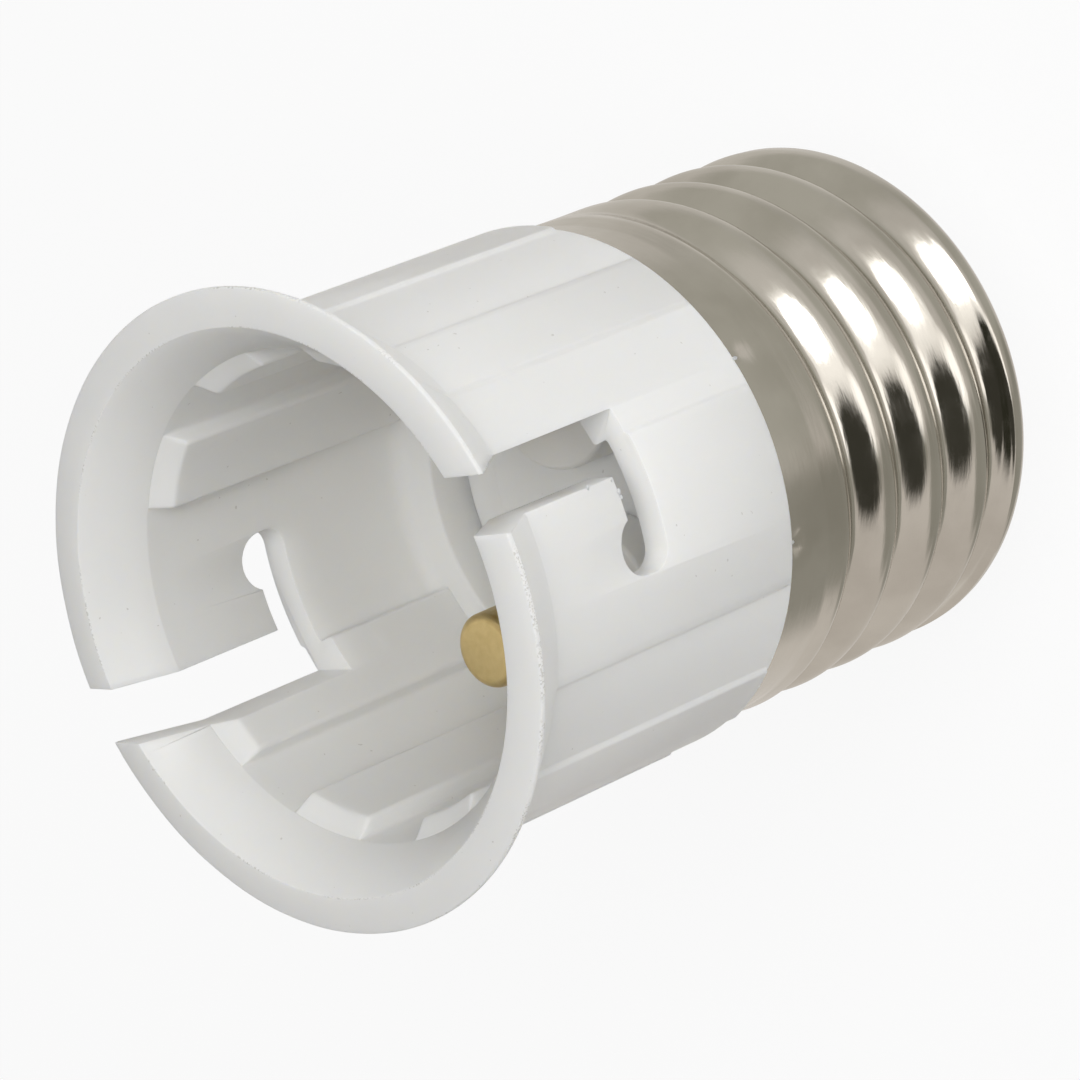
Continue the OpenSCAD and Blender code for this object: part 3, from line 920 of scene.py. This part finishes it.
    def slot_outline(self) -> list[tuple[float, float]]:
        """Draws the slot on the +Y side: straight leg, cross leg and the pin's seat.

        Returns:
            X and Z of each point.
        """
        meet = 180.0 - math.degrees(math.asin((self.cross_z - self.seat_z) / self.seat_r))
        corner = (self.seat_r - self.cross_end_r, self.slot_z + self.cross_end_r)
        return ([(-self.leg_out, self.slot_z), (-self.leg_out, self.mouth_z + 1),
                 (-self.leg_in, self.mouth_z + 1), (-self.leg_in, self.cross_z)]
                + arc((0.0, self.seat_z), self.seat_r, meet, 0.0, 16)
                + arc(corner, self.cross_end_r, 0.0, -90.0, 8))

    def add_burrs(self, body: bpy.types.Object) -> bpy.types.Object:
        """Leaves small moulding flakes on the near slot's corner.

        Args:
            body: the cut body.

        Returns:
            The body with its flakes.
        """
        flakes = []
        wall = self.body_r + self.panel_h
        for x, z, size in self.burrs:
            y = -math.sqrt(wall ** 2 - x ** 2)
            bpy.ops.mesh.primitive_ico_sphere_add(subdivisions=2, radius=size * MM,
                                                  location=(x * MM, y * MM, z * MM))
            flake = bpy.context.object
            bpy.ops.transform.resize(value=self.burr_shares, center_override=flake.location)
            bpy.ops.object.transform_apply(location=True, rotation=True, scale=True)
            flakes.append(flake)
        return Bench.join("moulded_body", [body] + flakes)

    def build(self) -> bpy.types.Object:
        """Turns the wall, raises its ribs and panels, cuts the slots and rounds their edges.

        Returns:
            The finished body.
        """
        columns = self.columns()
        piece = Bench.lathe("moulded_body", self.outline(), len(columns))
        spots = Bench.spots(piece)
        turned = np.mod(np.degrees(np.arctan2(spots[:, 1], spots[:, 0])), 360.0)
        place = np.rint(turned * len(columns) / 360.0).astype(int) % len(columns)
        angle = np.radians(columns[place])
        radius = np.hypot(spots[:, 0], spots[:, 1])
        spots[:, 0] = radius * np.cos(angle)
        spots[:, 1] = radius * np.sin(angle)
        wave = np.sin(angle * 7) + 0.6 * np.sin(angle * 19 + 1)
        spots[:, :2] *= (self.relief(spots) / radius)[:, None]
        spots[:, 2] += np.where(spots[:, 2] > self.mouth_z - self.wave_reach, self.wave_h * wave, 0)
        Bench.put(piece, spots)
        reach = self.lip_out_r + 1
        for low, high, side in ((2.0, reach, 1), (-2.0, -reach, -1)):
            outline = [(side * x, z) for x, z in self.slot_outline()]
            Bench.cut(piece, Bench.prism("slot_core", outline, low, high))
        Bench.modify(piece, "BEVEL", width=self.edge * MM, segments=2, angle_limit=math.radians(55),
                     use_clamp_overlap=False, loop_slide=False)
        piece = self.add_burrs(piece)
        Bench.smooth(piece, 38)
        return piece


@dataclass
class ContactCarrier:
    """The white insert with its two bosses and stems. Sizes in millimetres."""

    disc_r: float = 10.45
    disc_z: float = 22.3
    ledge_z: float = 24.8
    rim_r: float = 9.85
    rim_h: float = 0.4
    plateau_r: float = 7.4
    plateau_h: float = 0.15
    boss_r: float = 4.1
    boss_z: float = 28.0
    boss_round: float = 0.25
    stem_z: float = 15.6
    stem_bore_r: float = 2.7
    spring_bore_z: float = 26.2
    shaft_bore_r: float = 1.96
    steps: int = 160

    def boss(self, side: Side) -> bpy.types.Object:
        """Turns one boss with its stem and stands it in its place.

        Args:
            side: which plunger it takes.

        Returns:
            The boss.
        """
        corners = [(self.stem_bore_r, self.stem_z, 0), (self.boss_r, self.stem_z, 0),
                   (self.boss_r, self.boss_z, self.boss_round), (self.shaft_bore_r, self.boss_z, 0.08),
                   (self.shaft_bore_r, self.spring_bore_z, 0), (self.stem_bore_r, self.spring_bore_z, 0),
                   (self.stem_bore_r, self.stem_z, 0)]
        piece = Bench.lathe("boss", rounded(corners, 6), self.steps)
        Bench.shift(piece, side.value * PLUNGER_X_MM)
        return piece

    def build(self) -> bpy.types.Object:
        """Turns the disc, opens it for the bosses and sets them in.

        Returns:
            The finished insert.
        """
        rim_z = self.ledge_z + self.rim_h
        corners = [(0, self.disc_z, 0), (self.disc_r, self.disc_z, 0.1), (self.disc_r, self.ledge_z, 0.1),
                   (self.rim_r, self.ledge_z, 0), (self.rim_r - self.rim_h, rim_z, 0.08),
                   (self.plateau_r + self.plateau_h, rim_z, 0.06),
                   (self.plateau_r, rim_z + self.plateau_h, 0.06), (0, rim_z + self.plateau_h, 0)]
        disc = Bench.lathe("carrier_disc", rounded(corners), self.steps)
        bosses = []
        for side in Side:
            bosses.append(self.boss(side))
            bpy.ops.mesh.primitive_cylinder_add(
                vertices=96, radius=(self.boss_r - 0.1) * MM, depth=20 * MM,
                location=(side.value * PLUNGER_X_MM * MM, 0, self.disc_z * MM))
            Bench.cut(disc, bpy.context.object)
        piece = Bench.join("contact_insert", [disc] + bosses)
        Bench.smooth(piece, 38)
        return piece


@dataclass
class Plunger:
    """One turned brass plunger with its collar. Sizes in millimetres."""

    side: Side
    face_z: float
    radius: float = 1.9
    face_round: float = 0.45
    collar_r: float = 2.62
    collar_z: float = 25.17
    collar_t: float = 1.0
    steps: int = 128

    def build(self) -> bpy.types.Object:
        """Turns the plunger and stands it in its place.

        Returns:
            The finished plunger.
        """
        top = self.collar_z + self.collar_t
        corners = [(0, self.collar_z, 0), (self.collar_r, self.collar_z, 0.1), (self.collar_r, top, 0.1),
                   (self.radius, top, 0), (self.radius, self.face_z, self.face_round),
                   (0.25, self.face_z, 0), (0, self.face_z, 0)]
        piece = Bench.lathe(f"turned_plunger_{self.side.word}", rounded(corners, 8), self.steps)
        Bench.shift(piece, self.side.value * PLUNGER_X_MM)
        Bench.smooth(piece, 38)
        return piece


@dataclass
class CentreContact:
    """The round contact riveted through the cone. Sizes in millimetres."""

    radius: float = 4.8
    face_round: float = 0.9
    height: float = 1.58
    shank_r: float = 1.5
    clinch_z: float = 3.42
    clinch_r: float = 2.2
    clinch_h: float = 0.6
    dimple_r: float = 1.3
    dimple: float = 0.22
    steps: int = 128

    def build(self) -> bpy.types.Object:
        """Turns the contact with the small dimple that the rivet tool leaves.

        Returns:
            The finished contact.
        """
        top = self.clinch_z + self.clinch_h
        corners = [(0, self.dimple, 0), (self.dimple_r * 0.6, self.dimple, 0.2), (self.dimple_r, 0, 0.15),
                   (self.radius, 0, self.face_round), (self.radius, self.height, 0.1),
                   (self.shank_r, self.height, 0), (self.shank_r, self.clinch_z, 0),
                   (self.clinch_r, self.clinch_z, 0), (self.clinch_r, top, 0.3), (0, top, 0)]
        piece = Bench.lathe("riveted_contact", rounded(corners, 6), self.steps)
        Bench.smooth(piece, 38)
        return piece


@dataclass
class ScrewShell:
    """The rolled shell: plain collar, round thread and turned-in end. Sizes in millimetres."""

    crest_r: float = 13.15
    depth: float = 1.02
    pitch: float = 3.63
    turns: float = 3.95
    fade: float = 60.0
    sheet: float = 0.3
    collar_r: float = 13.0
    rim_z: float = 26.8
    thread_z: float = 23.86
    start: float = 14.4
    end_r: float = 13.1
    end_z: float = 8.905
    end_round: float = 1.6
    hole_r: float = 10.65
    last_run: float = 0.5
    crest_share: float = 0.7
    steps: int = 240
    rows: int = 132
    stakes: tuple = (-61.6, -104.6, 118.4, 75.4)
    stake_z: float = 26.05
    stake_r: float = 0.62
    stake_depth: float = 0.34
    dish: tuple = (1.9, 1.3, 0.07)
    lift_at: float = -122.6
    lift_wide: float = 11.0
    lift_drop: float = 0.42
    lift_z: float = 25.4
    edge: float = 0.05

    def relief(self, angle: np.ndarray, height: np.ndarray) -> np.ndarray:
        """Gives the outer radius of the shell's wall.

        Args:
            angle: angle round the axis in degrees, for each point.
            height: height of each point.

        Returns:
            The radius of each point.
        """
        turned = np.mod(self.start - angle, 360.0) / 360.0
        along = (self.thread_z - height) / self.pitch - turned
        lap = np.floor(along)
        travel = lap + turned
        phase = along - lap
        ease = smoothstep(np.minimum(travel, self.turns - travel) * 360.0 / self.fade)
        ease = np.where(lap < 0, 0, ease) * smoothstep((height - self.end_z) / self.last_run)
        crest = ((1 + np.cos(FULL * phase)) / 2) ** self.crest_share
        collar = self.collar_r + (self.crest_r - self.collar_r) * np.clip(1 + along / 0.3, 0, 1)
        low = np.clip((height - self.end_z) / 0.6, 0, 1)
        body = self.end_r + (self.crest_r - self.end_r) * low
        wall = np.where(along < 0, collar, np.minimum(body, self.crest_r))
        return wall - self.depth * ease * (1 - crest)

    def dents(self, angle: np.ndarray, height: np.ndarray, radius: np.ndarray) -> np.ndarray:
        """Gives how far the stakes push the collar in.

        Args:
            angle: angle round the axis in degrees, for each point.
            height: height of each point.
            radius: distance from the axis of each point.

        Returns:
            The depth at each point.
        """
        pushed = np.zeros_like(radius)
        wide, high, deep = self.dish
        for place in self.stakes:
            gap = np.mod(angle - place + 180.0, 360.0) - 180.0
            across = np.radians(gap) * radius
            off = np.hypot(across, (height - self.stake_z) * 0.8)
            pushed += self.stake_depth * np.exp(-((off / self.stake_r) ** 2))
            pushed += deep * np.exp(-((across / wide) ** 2 + ((height - self.stake_z) / high) ** 2))
        return pushed

    def build(self) -> bpy.types.Object:
        """Turns the sheet's outline, presses the thread into it and gives it its thickness.

        Returns:
            The finished shell.
        """
        wall = [(self.collar_r, self.rim_z + (self.end_z - self.rim_z) * i / self.rows)
                for i in range(self.rows + 1)]
        turn_in = arc((self.end_r - self.end_round, self.end_z), self.end_round, 0.0, -90.0, 10)[1:]
        low_z = self.end_z - self.end_round
        piece = Bench.lathe("threaded_shell", wall + turn_in + [(self.hole_r, low_z)], self.steps)
        spots = Bench.spots(piece)
        angle = np.degrees(np.arctan2(spots[:, 1], spots[:, 0]))
        upright = spots[:, 2] > self.end_z - NEAR_MM / 10
        radius = self.relief(angle, spots[:, 2])
        radius -= self.dents(angle, spots[:, 2], radius)
        was = np.hypot(spots[:, 0], spots[:, 1])
        spots[:, :2] *= np.where(upright, radius / was, 1.0)[:, None]
        lifted = np.exp(-(((angle - self.lift_at) / self.lift_wide) ** 4))
        near_rim = np.clip((spots[:, 2] - self.lift_z) / (self.rim_z - self.lift_z), 0, 1)
        spots[:, 2] -= self.lift_drop * lifted * near_rim
        Bench.put(piece, spots)
        Bench.modify(piece, "SOLIDIFY", thickness=self.sheet * MM, offset=-1.0, use_even_offset=True)
        Bench.modify(piece, "BEVEL", width=self.edge * MM, segments=2, angle_limit=math.radians(60))
        Bench.smooth(piece, 40)
        return piece


@dataclass
class CoilSpring:
    """A compression spring copied from its node. Sizes in millimetres."""

    side: Side
    travel: float = 6.0
    weld: float = 0.001

    def build(self, node: bpy.types.Object) -> bpy.types.Object:
        """Copies the spring's node, merges its loose triangles and smooths the wire.

        Args:
            node: the spring's node.

        Returns:
            The finished spring.
        """
        piece = bpy.data.objects.new(f"coil_spring_{self.side.word}", node.data.copy())
        bpy.context.scene.collection.objects.link(piece)
        Bench.pick(piece)
        bpy.ops.object.mode_set(mode="EDIT")
        bpy.ops.mesh.select_all(action="SELECT")
        bpy.ops.mesh.remove_doubles(threshold=self.weld * MM)
        Bench.smooth(piece, 50)
        return piece

    def follow(self, piece: bpy.types.Object) -> None:
        """Gives the spring its own copy of its mesh.

        Args:
            piece: the finished spring.
        """
        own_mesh(piece)


@dataclass(frozen=True)
class Lobe:
    """A round patch of the surroundings that the metal mirrors.

    Attributes:
        way: its direction in the picture's right, up and back.
        inner: cosine of the angle within which it is whole.
        outer: cosine of the angle beyond which it is gone.
        colour: its colour.
    """

    way: tuple
    inner: float
    outer: float
    colour: tuple


@dataclass
class Studio:
    """Floor, lamps and the camera at the photograph's viewing angle. Places in millimetres."""

    eye: tuple = (48.24, -193.27, 221.56)
    look: tuple = (-0.17966, 0.69972, -0.69146)
    up: tuple = (0.95935, -0.03089, -0.28051)
    lens_mm: float = 188.19
    aim: tuple = (-2.1546, 3.0024, 27.598)
    lamp_far_mm: float = 400.0
    sky: float = 0.24
    floor_m: float = 1.6
    floor_under_mm: float = 0.05
    floor_white: float = 0.9
    surroundings: tuple = ((0.0, (0.66, 0.62, 0.575)), (0.5, (0.66, 0.625, 0.58)),
                           (0.9, (0.64, 0.62, 0.58)), (1.0, (0.5, 0.49, 0.45)))
    lobes: tuple = (
        Lobe((-0.92, -0.39, -0.04), 0.95, 0.7, (0.9, 0.88, 0.84)),
        Lobe((0.75, 0.62, -0.2), 0.93, 0.7, (0.47, 0.46, 0.41)),
        Lobe((-0.45, 0.88, 0.1), 0.93, 0.8, (0.5, 0.49, 0.44)),
        Lobe((0.9, -0.36, 0.05), 0.95, 0.86, (0.33, 0.32, 0.28)),
        Lobe((0.86, -0.12, -0.5), 0.95, 0.86, (0.34, 0.33, 0.29)),
        Lobe((0.62, -0.28, 0.73), 0.99, 0.93, (0.32, 0.31, 0.27)),
        Lobe((0.12, 0.3, 0.95), 0.985, 0.88, (1.3, 1.27, 1.22)),
        Lobe((0.65, 0.0, 0.76), 0.99, 0.935, (1.7, 1.66, 1.6)),
        Lobe((-0.34, -0.43, 0.84), 0.955, 0.91, (0.03, 0.03, 0.02)),
        Lobe((0.02, -0.3, 0.95), 0.962, 0.925, (0.03, 0.03, 0.02)),
        Lobe((0.3, -0.42, 0.86), 0.95, 0.895, (0.05, 0.048, 0.038)))

    def axes(self) -> tuple[Vector, Vector, Vector]:
        """Gives the picture's axes.

        Returns:
            Its right, its up and the way back to the camera.
        """
        back = -Vector(self.look).normalized()
        right = Vector(self.up).cross(back).normalized()
        return right, back.cross(right), back

    def toward(self, way: tuple) -> Vector:
        """Turns a direction in the picture's axes into one in the frame.

        Args:
            way: the direction along right, up and back.

        Returns:
            The direction in the frame, of length one.
        """
        right, up, back = self.axes()
        return (right * way[0] + up * way[1] + back * way[2]).normalized()

    def camera(self) -> None:
        """Adds the camera."""
        data = bpy.data.cameras.new("photo_camera")
        data.lens = self.lens_mm
        data.sensor_width = 36.0
        data.clip_start = 0.005
        data.clip_end = 20.0
        camera = bpy.data.objects.new("photo_camera", data)
        turn = Matrix(self.axes()).transposed().to_4x4()
        camera.matrix_world = Matrix.Translation(Vector(self.eye) * MM) @ turn
        bpy.context.scene.collection.objects.link(camera)
        bpy.context.scene.camera = camera

    def lamp(self, name: str, way: tuple, size_mm: float, power: float, mirrored: bool = False) -> None:
        """Adds one soft lamp.

        Args:
            name: the lamp's name.
            way: direction from the object in the picture's right, up and back.
            size_mm: the lamp's width.
            power: its power in watts.
            mirrored: whether shiny surfaces show it.
        """
        ahead = self.toward(way)
        data = bpy.data.lights.new(name, "AREA")
        data.shape = "DISK"
        data.size = size_mm * MM
        data.energy = power
        lamp = bpy.data.objects.new(name, data)
        lamp.visible_glossy = mirrored
        lamp.location = (Vector(self.aim) + ahead * self.lamp_far_mm) * MM
        lamp.rotation_euler = ahead.to_track_quat("Z", "Y").to_euler()
        bpy.context.scene.collection.objects.link(lamp)

    def facing(self, g: Graph, way: tuple) -> bpy.types.NodeSocket:
        """Measures how near a ray in the world's tree runs to a direction.

        Args:
            g: the world's node tree.
            way: the direction in the picture's axes.

        Returns:
            The cosine between them.
        """
        node = g.add("ShaderNodeVectorMath", operation="DOT_PRODUCT")
        node.inputs[1].default_value = self.toward(way)
        g.join(g.add("ShaderNodeTexCoord").outputs["Generated"], node.inputs[0])
        return node.outputs["Value"]

    def mirrored(self, g: Graph) -> bpy.types.Node:
        """Draws the surroundings that only reflections see.

        Args:
            g: the world's node tree.

        Returns:
            The background node.
        """
        height = g.math("ADD", g.math("MULTIPLY", self.facing(g, (0, 1, 0)), 0.5), 0.5)
        shown = g.ramp(height, self.surroundings)
        for lobe in self.lobes:
            share = g.span(self.facing(g, lobe.way), lobe.outer, lobe.inner)
            shown = g.mix(share, shown, lobe.colour)
        background = g.add("ShaderNodeBackground", Strength=1.0)
        g.join(shown, background.inputs["Color"])
        return background

    def world(self) -> None:
        """Sets plain pale surroundings, what the metal mirrors, and the white backdrop."""
        world = bpy.data.worlds.new("studio")
        bpy.context.scene.world = world
        g = Graph(world)
        path = g.add("ShaderNodeLightPath")
        last = g.add("ShaderNodeBackground", Color=(1.0, 1.0, 1.0, 1.0), Strength=self.sky)
        white = g.add("ShaderNodeBackground", Color=(1.0, 1.0, 1.0, 1.0), Strength=1.0)
        for ray, other in (("Is Glossy Ray", self.mirrored(g)), ("Is Camera Ray", white)):
            blend = g.add("ShaderNodeMixShader")
            g.join(path.outputs[ray], blend.inputs[0])
            g.join(last.outputs[0], blend.inputs[1])
            g.join(other.outputs[0], blend.inputs[2])
            last = blend
        g.finish(last, "ShaderNodeOutputWorld")

    def floor(self) -> None:
        """Adds the pale floor under the contact, which shows as the white backdrop and keeps the shadow."""
        Bench.clear()
        bpy.ops.mesh.primitive_plane_add(size=self.floor_m, location=(0, 0, -self.floor_under_mm * MM))
        floor = bpy.context.object
        floor.name = "pale_floor"
        material = bpy.data.materials.new("pale_floor")
        g = Graph(material)
        path = g.add("ShaderNodeLightPath")
        cloth = g.add("ShaderNodeBsdfDiffuse", Color=(0.92, 0.92, 0.92, 1.0))
        glow = g.add("ShaderNodeEmission", Color=(1.0, 1.0, 1.0, 1.0), Strength=1.0)
        blend = g.add("ShaderNodeMixShader")
        g.join(g.math("MULTIPLY", path.outputs["Is Camera Ray"], self.floor_white), blend.inputs[0])
        g.join(cloth.outputs[0], blend.inputs[1])
        g.join(glow.outputs[0], blend.inputs[2])
        clear = g.add("ShaderNodeMixShader")
        g.join(path.outputs["Is Glossy Ray"], clear.inputs[0])
        g.join(blend.outputs[0], clear.inputs[1])
        g.join(g.add("ShaderNodeBsdfTransparent").outputs[0], clear.inputs[2])
        g.finish(clear)
        Bench.dress(floor, material)

    def build(self) -> None:
        """Sets up the whole studio."""
        bpy.context.scene.view_settings.view_transform = "Standard"
        self.camera()
        self.lamp("key", (0.07, 0.41, 0.91), 180, 0.2, True)
        self.lamp("front", (-0.17, 0.0, 0.985), 260, 0.85)
        self.lamp("top", (0.0, 0.92, 0.4), 220, 0.25)
        self.lamp("low", (0.45, -0.8, 0.38), 220, 0.1)
        self.world()
        self.floor()


def dress_nodes(nodes: dict[str, bpy.types.Object]) -> None:
    """Gives every carried-over node its finish.

    Args:
        nodes: the frame's nodes by name.
    """
    finishes = {"socket_body": WHITE, "contact_carrier": WHITE, "tip_insulator": WHITE,
                "screw_shell": NICKEL, "tip_contact": CONTACT, "solder_beads": SOLDER,
                "shell_lead": BLUE, "tip_lead": RED}
    for side in Side:
        finishes[f"plunger_{side.word}"] = PINS[side]
        finishes[f"terminal_cap_{side.word}"] = BRASS
        finishes[f"spring_{side.word}"] = SPRING
    made = {finish.name: finish.make() for finish in {f.name: f for f in finishes.values()}.values()}
    for name, finish in finishes.items():
        Bench.dress(nodes[name], made[finish.name])
    LOG.info("dressed %d nodes", len(finishes))


def build_pieces(nodes: dict[str, bpy.types.Object]) -> None:
    """Models the pieces that are finer than their nodes and puts them into the frame.

    Args:
        nodes: the frame's nodes by name.
    """
    Bench.seat(SocketBody().build(), "adapter", Slot.WHITE, WHITE.name, "socket_body")
    Bench.seat(ContactCarrier().build(), "adapter", Slot.WHITE, WHITE.name, "contact_carrier")
    Bench.seat(ScrewShell().build(), "adapter", Slot.NICKEL, NICKEL.name, "screw_shell")
    Bench.seat(CentreContact().build(), "adapter", Slot.NICKEL, CONTACT.name, "tip_contact")
    for side in Side:
        node = f"plunger_{side.word}"
        plunger = Plunger(side, PLUNGER_FACE_MM[side]).build()
        Bench.seat(plunger, node, Slot.BRASS, PINS[side].name, node)
        coil = CoilSpring(side)
        spring = coil.build(nodes[f"spring_{side.word}"])
        Bench.seat(spring, "adapter", Slot.SPRING, SPRING.name, f"spring_{side.word}")
        coil.follow(spring)


def main() -> None:
    """Builds the sub-assemblies in order and reports each."""
    logging.basicConfig(level=logging.INFO, format="%(name)s: %(message)s")
    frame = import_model()
    Studio().build()
    dress_nodes(frame["nodes"])
    build_pieces(frame["nodes"])


if __name__ == "__main__":
    main()
